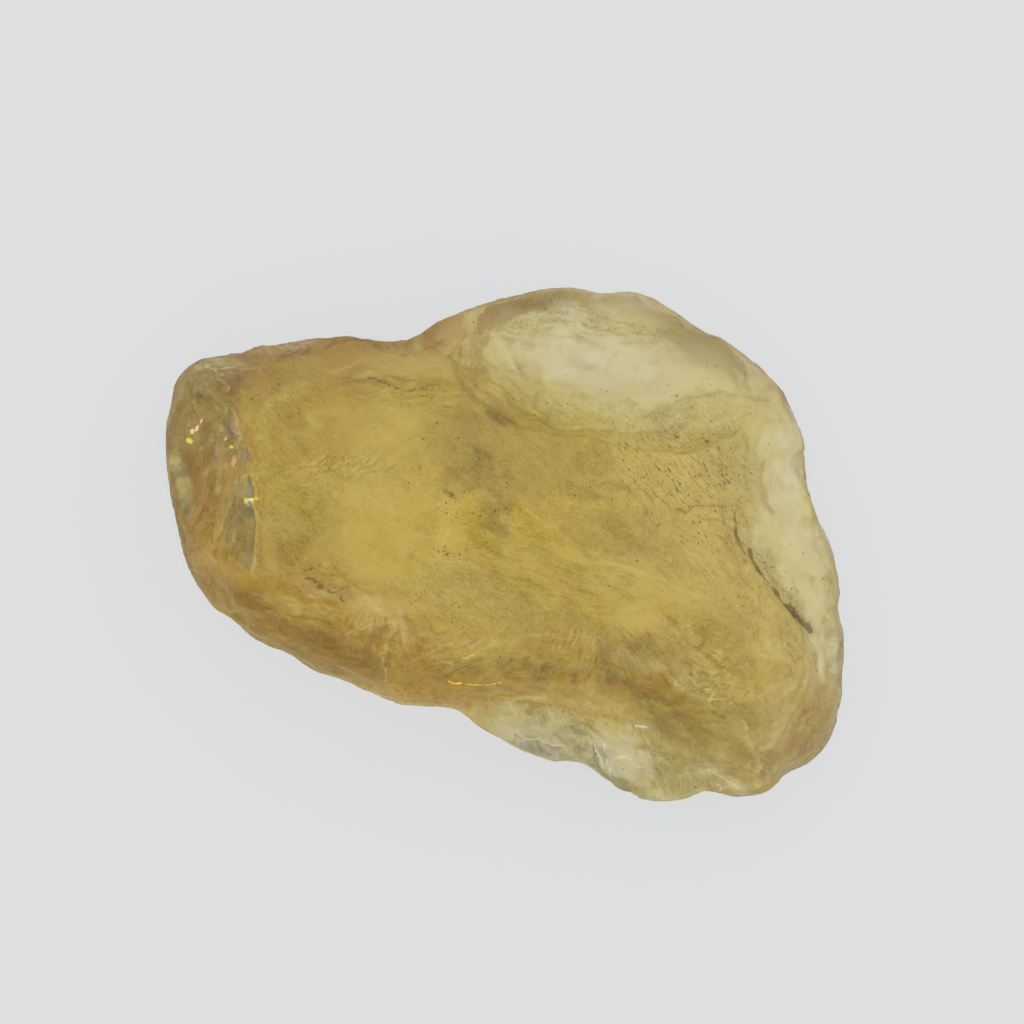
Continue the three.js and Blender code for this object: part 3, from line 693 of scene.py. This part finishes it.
def crack_sheet(bm, skin_tree, crack, gap, draw):
    """Adds a crack to a cutter: a thin closed sheet that is sharp at its inner end and sides."""
    azimuth, dip, length, wave, points = crack
    edge = []
    for x, y in points:
        found = skin_tree.ray_cast(Vector((x, y, 100)) * MM, Vector((0, 0, -1)))[0]
        edge.append(Vector((x, y, found.z / MM + CRACK_LIFT)))
    azimuth, dip = math.radians(azimuth), math.radians(dip)
    into = Vector((math.cos(azimuth) * math.cos(dip), math.sin(azimuth) * math.cos(dip), -math.sin(dip)))
    lengths = np.cumsum([0] + [(b - a).length for a, b in zip(edge, edge[1:])])
    across = max(8, round(lengths[-1] / CRACK_CELL))
    deep = max(5, round(length / CRACK_CELL))
    shift = Vector([draw.uniform(0, 50) for _ in range(3)])
    rows = []
    for i in range(across + 1):
        far = lengths[-1] * i / across
        at = min(int(np.searchsorted(lengths, far, side="right")) - 1, len(edge) - 2)
        start = edge[at].lerp(edge[at + 1], (far - lengths[at]) / (lengths[at + 1] - lengths[at]))
        side = (edge[at + 1] - edge[at]).cross(into).normalized()
        round_end = math.sqrt(max(0.0, 1 - (2 * i / across - 1) ** 2))
        reach = length * round_end * (1 + CRACK_RAGGED * noise.noise(start * 1.3 + shift))
        row = []
        for j in range(deep + 1):
            place = start + into * (reach * j / deep)
            place += side * wave * noise.fractal(place * 0.9 + shift, 1.0, 2.0, 3)
            half = 0 if i in (0, across) or j == deep else 0.5 * gap
            faces = [bm.verts.new((place + side * half) * MM)]
            if half:
                faces.append(bm.verts.new((place - side * half) * MM))
            row.append((faces[0], faces[-1]))
        rows.append(row)
    for one, two in zip(rows, rows[1:]):
        for j in range(deep):
            for k, order in ((0, 1), (1, -1)):
                ring = [one[j][k], two[j][k], two[j + 1][k], one[j + 1][k]]
                bm.faces.new(ring[::order])
        ring = [one[0][1], two[0][1], two[0][0], one[0][0]]
        bm.faces.new(list(dict.fromkeys(ring)))


def cut_cracks(stone, gap):
    """Cuts the thin cracks into the stone and stores which of its faces are their walls."""
    skin_tree = BVHTree.FromObject(stone, bpy.context.evaluated_depsgraph_get())
    draw = random.Random(CRACK_SEED)
    bm = bmesh.new()
    for crack in CRACKS.values():
        crack_sheet(bm, skin_tree, crack, gap, draw)
    bmesh.ops.remove_doubles(bm, verts=bm.verts, dist=0.0001 * MM)
    bmesh.ops.recalc_face_normals(bm, faces=bm.faces)
    mesh = bpy.data.meshes.new("cracks")
    bm.to_mesh(mesh)
    walls = BVHTree.FromBMesh(bm)
    bm.free()
    cutter = bpy.data.objects.new("cracks", mesh)
    bpy.context.scene.collection.objects.link(cutter)
    cut = stone.modifiers.new("cracks", "BOOLEAN")
    cut.operation, cut.solver, cut.object = "DIFFERENCE", "EXACT", cutter
    graph = bpy.context.evaluated_depsgraph_get()
    opened = bpy.data.meshes.new_from_object(stone.evaluated_get(graph))
    if len(opened.vertices) < len(stone.data.vertices):
        raise RuntimeError("the cracks could not be cut")
    stone.modifiers.clear()
    stone.data = opened
    opened.name = stone.name
    bpy.data.objects.remove(cutter)
    bpy.data.meshes.remove(mesh)
    near = [walls.find_nearest(v.co, 0.004 * MM)[0] is not None for v in opened.vertices]
    inside = [all(near[v] for v in face.vertices) for face in opened.polygons]
    film = opened.attributes.new("film", "FLOAT", "FACE")
    film.data.foreach_set("value", np.array(inside, np.float32))


def wander(places):
    """Small sideways shifts that keep a drawn line from running too true."""
    sideways = [cloud(places, 1.3, 3, seed) for seed in (3, 4)]
    return places[:, :2] + 0.35 * np.column_stack(sideways)


def work_skin(skin, settings):
    """Moves the skin in and out: swells, terraces, hackles, creases and grain."""
    swell, grain = settings.swell / MM, settings.grain / MM
    places, top = skin.places, ramp(skin.up, 0.1, 0.5)
    height = swell * cloud(places, 2.6, 3, 1)
    height += 0.4 * swell * terraces(cloud(places, 3.4, 4, 2), 2.4)
    drawn = wander(places)
    for width, depth, _, points in CREASES.values():
        far = line_distance(drawn, points)
        height -= top * depth * np.exp(-((far / width) ** 2))
    skin.push(height)
    hackled, scratched, tinted = np.zeros(skin.count), np.zeros(skin.count), 0.35 * top
    brush = stroke_places(places, -36, 0.45, 3, 50)
    height = grain * cloud(places, 0.5, 3, 5)
    for seed, (at, reach, turn, way, width, long, depth, tint, dirt) in enumerate(HACKLES.values()):
        share = top * patch(places, at, reach, turn, seed=seed)
        here = share > hackled
        if not here.any():
            continue
        hackled[here] = share[here]
        brush[here] = stroke_places(places[here], way, width, long, seed, at)
        steps = terraces(cloud(brush[here], 1.0, 3, seed), 2.0)
        height[here] = grain - share[here] * depth * steps
        scratched[here] = share[here] * dirt
        tinted[here] = share[here] * tint
    skin.push(height)
    skin.keep_places("brush", brush)
    skin.keep("scratched", scratched)
    skin.keep("brushed", tinted)


# ---------------------------------------------------------------- what lies on the skin


def patches(skin, marks, seed):
    """The strongest of some patches at each vertex, on the upper side only."""
    share = np.zeros(skin.count)
    for number, (_, centre, reach, turn, strength) in enumerate(marks):
        share = np.maximum(share, strength * patch(skin.places, centre, reach, turn, seed=seed + number))
    return share * ramp(skin.up, -0.1, 0.2)


def mark_skin(skin):
    """Stores where creases hold dirt, and where painted glints and highlights, scars, patches, specks,
    hollows and crests are.
    """
    places, top = skin.places, ramp(skin.up, -0.1, 0.2)
    dirt, line, drawn = np.zeros(skin.count), np.ones(skin.count), wander(places)
    for width, _, held, points in CREASES.values():
        far = line_distance(drawn, points) + 0.12 - 0.5 * width
        nearer = far < line
        line[nearer] = far[nearer]
        dirt[nearer] = top[nearer] * held
    skin.keep("dirt", dirt)
    skin.keep("line", line)
    glint, light = np.ones(skin.count), np.zeros((skin.count, 3))
    for half, colour, points in PAINTED_GLINTS.values():
        far = line_distance(places, points) / half / 4
        nearer = (far < glint) & (skin.up > 0)
        glint[nearer], light[nearer] = far[nearer], colour
    skin.keep("glint", glint)
    scar_and_highlight = np.ones(skin.count)
    for half, points in SCARS_AND_HIGHLIGHTS.values():
        scar_and_highlight = np.minimum(scar_and_highlight, line_distance(drawn, points) / half / 4)
    skin.keep("scar_and_highlight", np.maximum(scar_and_highlight, 1 - top))
    skin.keep_places("light", light)
    named = {"stain_and_shade": (STAINS_AND_SHADE, 20), "grey_and_shade": (GREYS_AND_SHADE, 40), "amber_and_shade": (AMBERS_AND_SHADE, 100), "gold": (GOLDS, 160)}
    for name, (marks, seed) in named.items():
        skin.keep(name, patches(skin, marks, seed))
    skin.keep("milk_glow", patches(skin, MILK_GLOWS, 140))
    skin.keep("clear", np.maximum(patches(skin, CLEARS, 60), 1 - top))
    along, across = turned(places, -30)
    drawn_out = np.column_stack([along / 2.2, across, places[:, 2]])
    skin.keep("middle", 0.5 + 0.5 * cloud(drawn_out, 0.8, 3, 7))
    skin.keep("broad", 0.5 + 0.5 * cloud(drawn_out, 2.4, 3, 8))
    thick = 0.3 + 0.9 * ramp(cloud(places, 1.6, 2, 9), -0.3, 0.3)
    skin.keep("speckle", thick * (0.04 * top + 0.75 * patches(skin, SPECKLES, 80)))
    rim = patch(places, (8.5, 14.2), (8.0, 2.2), -22, seed=120)
    skin.keep("rim", np.maximum(rim, 1 - ramp(abs(skin.up), 0.2, 0.7)))
    # Hollows and crests, for painted shade and painted highlights in the skin's colour.
    lower = skin.hollow(3)
    skin.keep("hollow", top * ramp(lower, 0.004, 0.03))
    skin.keep("crest", top * ramp(-lower, 0.004, 0.03))


# ---------------------------------------------------------------- the material


def add_node(tree, kind, inputs=None, **values):
    """Adds a shader node, sets its own values and then its inputs by name or number."""
    node = tree.nodes.new("ShaderNode" + kind)
    for name, value in values.items():
        setattr(node, name, value)
    for key, value in (inputs or {}).items():
        node.inputs[key].default_value = value
    return node


def blend_colour(tree, below, colour, share, kind):
    """Lays a colour over the one below (MIX), tints it (MULTIPLY) or lights it (ADD), by a share."""
    mix = add_node(tree, "Mix", {7: (*colour, 1)}, data_type="RGBA", blend_type=kind)
    tree.links.new(share, mix.inputs[0])
    tree.links.new(below, mix.inputs[6])
    return mix.outputs[2]


def ramp_of(tree, value, start, end, low=0.0, high=1.0):
    """The value's rise from start to end, as a smooth rise from low to high."""
    node = add_node(tree, "MapRange", {1: start, 2: end, 3: low, 4: high}, interpolation_type="SMOOTHSTEP")
    tree.links.new(value, node.inputs[0])
    return node.outputs[0]


def times(tree, one, other):
    """The product of two outputs, or of an output and a number."""
    node = add_node(tree, "Math", operation="MULTIPLY")
    tree.links.new(one, node.inputs[0])
    if isinstance(other, float):
        node.inputs[1].default_value = other
    else:
        tree.links.new(other, node.inputs[1])
    return node.outputs[0]


def stored(tree, name, output="Fac"):
    """What is stored at the skin's vertices under a name."""
    return add_node(tree, "Attribute", attribute_name=name).outputs[output]


def kept(tree, name, low=None, high=None, least=0.0, most=1.0):
    """A number kept on the skin, or its smooth rise from least to most between low and high."""
    value = stored(tree, name)
    return value if low is None else ramp_of(tree, value, low, high, least, most)


def lumps(tree, places, size, detail=3.0, rough=0.55):
    """Soft noise whose lumps are about size wide in the units of its places."""
    node = add_node(tree, "TexNoise", {"Scale": 1 / size, "Detail": detail, "Roughness": rough})
    tree.links.new(places, node.inputs["Vector"])
    return node.outputs["Fac"]


def specks(tree, places, size, radius, share):
    """Small dots, of which a share is shown."""
    link = tree.links.new
    cells = add_node(tree, "TexVoronoi", {"Scale": 1 / size})
    link(places, cells.inputs["Vector"])
    chance = add_node(tree, "SeparateColor")
    link(cells.outputs["Color"], chance.inputs["Color"])
    spare = add_node(tree, "Math", operation="SUBTRACT")
    link(share, spare.inputs[0])
    link(chance.outputs["Red"], spare.inputs[1])
    dot = ramp_of(tree, cells.outputs["Distance"], radius / size, 0.6 * radius / size)
    return times(tree, dot, ramp_of(tree, spare.outputs[0], -0.02, 0.02))


def crease_edge(tree, fine):
    """The distance from the nearest crease, made ragged by fine noise."""
    ragged = add_node(tree, "Math", {1: 0.12, 2: -0.05}, operation="MULTIPLY_ADD")
    tree.links.new(fine, ragged.inputs[0])
    edge = add_node(tree, "Math", operation="ADD")
    tree.links.new(kept(tree, "line"), edge.inputs[0])
    tree.links.new(ragged.outputs[0], edge.inputs[1])
    return edge.outputs[0]


def skin_colour(tree, settings, places, fine, middle, strokes, milk_glow):
    """The skin's colour: weathering tints and painted shade, clearing washes and painted highlights, patch
    shades, then soils.
    """
    broad, edge = kept(tree, "broad"), crease_edge(tree, fine)
    thin_strokes = lumps(tree, stored(tree, "brush", "Vector"), 0.34, 1.0, 0.5)
    brushed, clear, dirt, speckle = (kept(tree, name) for name in ("brushed", "clear", "dirt", "speckle"))
    dull = ramp_of(tree, clear, 0.0, 1.0, 1.0, 0.25)
    grime = lumps(tree, places, 0.13, 1.0)
    honey, amber_and_shade, gold = settings.honey_colour, settings.amber_and_shade_colour, settings.gold_colour
    grey_and_shade, stain_and_shade, soil = settings.grey_and_shade_colour, settings.stain_and_shade_colour, settings.dirt_colour
    tints = (
        (grey_and_shade, times(tree, kept(tree, "dullness", 0.5, 1.0, 0.0, 0.35), dull)),
        (honey, times(tree, ramp_of(tree, broad, 0.42, 0.66, 0.0, 0.6), dull)),
        (stain_and_shade, times(tree, ramp_of(tree, middle, 0.45, 0.75, 0.0, 0.4), dull)),
        # painted shade: the hollows darkened with the stain colour
        (stain_and_shade, times(tree, times(tree, kept(tree, "hollow"), dull), 0.25)),
        (amber_and_shade, times(tree, ramp_of(tree, fine, 0.36, 0.66, 0.0, 0.45), dull)),
        (amber_and_shade, times(tree, ramp_of(tree, thin_strokes, 0.42, 0.62, 0.0, 0.42), dull)),
        (stain_and_shade, times(tree, brushed, ramp_of(tree, strokes, 0.51, 0.62, 0.0, 0.8))),
    )
    washes = (
        # painted highlight: the crests washed paler
        (CLEAN, times(tree, kept(tree, "crest"), 0.3)),
        (CLEAN, ramp_of(tree, fine, 0.5, 0.3, 0.0, 0.6)),
        (CLEAN, times(tree, brushed, ramp_of(tree, strokes, 0.48, 0.38))),
        (CLEAN, times(tree, clear, ramp_of(tree, middle, 0.7, 0.45, 0.6, 1.0))),
    )
    shades = (
        (stain_and_shade, times(tree, kept(tree, "stain_and_shade"), ramp_of(tree, middle, 0.3, 0.6))),
        (MILK_TINT, milk_glow),
        (gold, kept(tree, "gold")),
        (grey_and_shade, times(tree, kept(tree, "grey_and_shade"), ramp_of(tree, middle, 0.35, 0.62, 0.3, 1.0))),
        (amber_and_shade, times(tree, kept(tree, "amber_and_shade"), ramp_of(tree, broad, 0.35, 0.6, 0.7, 1.0))),
    )
    soils = (
        # clean scars and painted highlights
        (CLEAN, kept(tree, "scar_and_highlight", 0.36, 0.12, 0.0, 0.8)),
        (soil, times(tree, kept(tree, "scratched"), ramp_of(tree, thin_strokes, 0.64, 0.72))),
        (stain_and_shade, times(tree, dirt, ramp_of(tree, edge, 0.4, 0.1))),
        (soil, times(tree, dirt, ramp_of(tree, edge, 0.16, 0.08))),
        (soil, times(tree, speckle, ramp_of(tree, grime, 0.66, 0.72, 0.0, 0.8))),
        (soil, times(tree, specks(tree, places, 0.42, 0.09, speckle), 0.9)),
        (soil, times(tree, specks(tree, places, 0.22, 0.055, speckle), 0.75)),
        (CLEAN, kept(tree, "film")),
    )
    skin = add_node(tree, "RGB")
    skin.outputs[0].default_value = (*settings.skin_colour, 1)
    colour = skin.outputs[0]
    for kind, layers in (("MULTIPLY", tints), ("MIX", washes), ("MULTIPLY", shades), ("MIX", soils)):
        for layer, strength in layers:
            colour = blend_colour(tree, colour, layer, strength, kind)
    return colour


def quartz(settings):
    """Clear yellow quartz with a frosted, stained and dirty skin."""
    material = bpy.data.materials.new("clear yellow quartz")
    material.use_nodes = True
    material.cycles.emission_sampling = "NONE"
    tree = material.node_tree
    link = tree.links.new
    shader = tree.nodes["Principled BSDF"]
    shader.inputs["Transmission Weight"].default_value = 1.0
    shader.inputs["IOR"].default_value = QUARTZ_IOR
    strongest = max(settings.absorbed)
    share = [1 - taken / strongest for taken in settings.absorbed]
    body = add_node(tree, "VolumeAbsorption", {"Color": (*share, 1), "Density": strongest})
    link(body.outputs["Volume"], tree.nodes["Material Output"].inputs["Volume"])

    where = add_node(tree, "TexCoord")
    in_mm = add_node(tree, "Mapping", {"Scale": (1 / MM, 1 / MM, 1 / MM)})
    link(where.outputs["Object"], in_mm.inputs["Vector"])
    places = in_mm.outputs["Vector"]
    fine, middle = lumps(tree, places, 0.17), kept(tree, "middle")
    strokes = lumps(tree, stored(tree, "brush", "Vector"), 0.5, 2.0, 0.6)
    milk_glow = times(tree, kept(tree, "milk_glow"), ramp_of(tree, strokes, 0.62, 0.36))
    link(skin_colour(tree, settings, places, fine, middle, strokes, milk_glow), shader.inputs["Base Color"])

    # Painted glints, and the painted glow of the milky patches: emission, though the stone is no lamp.
    glints = add_node(tree, "VectorMath", operation="SCALE")
    link(stored(tree, "light", "Vector"), glints.inputs[0])
    link(kept(tree, "glint", 0.28, 0.16), glints.inputs["Scale"])
    link(blend_colour(tree, glints.outputs[0], MILK_LIGHT, milk_glow, "ADD"), shader.inputs["Emission Color"])
    shader.inputs["Emission Strength"].default_value = 1.0

    frost = ramp_of(tree, middle, 0.3, 0.7, settings.frost - 0.06, settings.frost + 0.06)
    rim = kept(tree, "rim", 0.0, 1.0, 1.0, 1.7)
    skin_only = kept(tree, "film", 0.0, 1.0, 1.0, 0.25)
    link(times(tree, times(tree, frost, rim), skin_only), shader.inputs["Roughness"])
    bump = add_node(tree, "Bump", {"Strength": 0.35, "Distance": 0.02 * MM})
    link(fine, bump.inputs["Height"])
    link(bump.outputs["Normal"], shader.inputs["Normal"])
    return material


def paper(settings):
    """Plain pale paper that glows a little, as on a light table."""
    material = bpy.data.materials.new("pale paper")
    material.use_nodes = True
    material.cycles.emission_sampling = "NONE"
    shader = material.node_tree.nodes["Principled BSDF"]
    shader.inputs["Base Color"].default_value = (*[settings.floor_tone] * 3, 1)
    shader.inputs["Roughness"].default_value = 0.9
    shader.inputs["Emission Color"].default_value = ROOM_LIGHT
    shader.inputs["Emission Strength"].default_value = settings.floor_glow
    return material


def soft_light(settings):
    """A world that is bright on one side and dim on the other, with no edge between."""
    world = bpy.data.worlds.new("soft light")
    world.use_nodes = True
    world.cycles.sampling_method = "NONE"
    tree = world.node_tree
    where = add_node(tree, "TexCoord")
    towards = add_node(tree, "VectorMath", {1: settings.bright_side}, operation="DOT_PRODUCT")
    tree.links.new(where.outputs["Generated"], towards.inputs[0])
    strength = ramp_of(tree, towards.outputs["Value"], -0.35, 0.95, settings.shade, settings.sky)
    light = tree.nodes["Background"]
    light.inputs["Color"].default_value = ROOM_LIGHT
    tree.links.new(strength, light.inputs["Strength"])
    return world


# ---------------------------------------------------------------- operators


class CITRINE_OT_stone(bpy.types.Operator):
    """Build the rough citrine in place of its plain solid"""

    bl_idname = "citrine.stone"
    bl_label = "Rough Citrine"

    def execute(self, context):
        settings = context.scene.citrine
        stone = merged_copy("citrine", "rough_citrine")
        regrid(stone, settings.grid)
        skin = Skin(stone.data)
        break_shells(skin, settings.shell_share)
        work_skin(skin, settings)
        mark_skin(skin)
        cut_cracks(stone, settings.crack_gap / MM)
        stone.data.shade_smooth()
        stone.data.set_sharp_from_angle(angle=math.radians(SHARP_ANGLE))
        stone.data.materials.clear()
        stone.data.materials.append(quartz(settings))
        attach(stone, "root")
        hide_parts("citrine")
        return {"FINISHED"}


class CITRINE_OT_stage(bpy.types.Operator):
    """Build the plain floor, the soft light and the camera"""

    bl_idname = "citrine.stage"
    bl_label = "Stage"

    def execute(self, context):
        settings = context.scene.citrine_stage
        scene = context.scene
        mesh = bpy.data.meshes.new("floor")
        bm = bmesh.new()
        bmesh.ops.create_grid(bm, x_segments=1, y_segments=1, size=FLOOR_REACH)
        bmesh.ops.translate(bm, vec=(0, 0, -FLOOR_GAP), verts=bm.verts)
        bm.to_mesh(mesh)
        bm.free()
        mesh.materials.append(paper(settings))
        floor = bpy.data.objects.new("floor", mesh)
        scene.collection.objects.link(floor)

        scene.world = soft_light(settings)

        lens = bpy.data.cameras.new("camera")
        lens.lens = settings.lens
        lens.clip_start = 10 * MM
        camera = bpy.data.objects.new("camera", lens)
        scene.collection.objects.link(camera)
        away = settings.view_width * settings.lens / lens.sensor_width
        camera.location = (VIEW_MIDDLE[0] * MM, VIEW_MIDDLE[1] * MM, WIDEST_LEVEL + away)
        scene.camera = camera
        scene.view_settings.view_transform = "Standard"
        scene.cycles.max_bounces = 14
        scene.cycles.transmission_bounces = 14
        scene.cycles.glossy_bounces = 8
        scene.cycles.diffuse_bounces = 3
        return {"FINISHED"}


class CITRINE_PT_panel(bpy.types.Panel):
    """Lists the pieces and their sizes"""

    bl_label = "Rough Citrine"
    bl_idname = "CITRINE_PT_panel"
    bl_space_type = "VIEW_3D"
    bl_region_type = "UI"
    bl_category = "Citrine"

    def draw(self, context):
        layout = self.layout
        for group, operator in (("citrine", CITRINE_OT_stone), ("citrine_stage", CITRINE_OT_stage)):
            settings = getattr(context.scene, group)
            column = layout.column(align=True)
            for name in settings.__annotations__:
                column.prop(settings, name)
            layout.operator(operator.bl_idname)


CLASSES = (CitrineSettings, StageSettings, CITRINE_OT_stone, CITRINE_OT_stage, CITRINE_PT_panel)


def register():
    """Makes the settings, operators and panel known to Blender."""
    for cls in CLASSES:
        bpy.utils.register_class(cls)
    bpy.types.Scene.citrine = bpy.props.PointerProperty(type=CitrineSettings)
    bpy.types.Scene.citrine_stage = bpy.props.PointerProperty(type=StageSettings)


def unregister():
    """Takes them away again."""
    del bpy.types.Scene.citrine_stage
    del bpy.types.Scene.citrine
    for cls in reversed(CLASSES):
        bpy.utils.unregister_class(cls)


def main():
    """Builds the stone and its stage."""
    register()
    bpy.ops.citrine.stone()
    bpy.ops.citrine.stage()


if __name__ == "__main__":
    main()
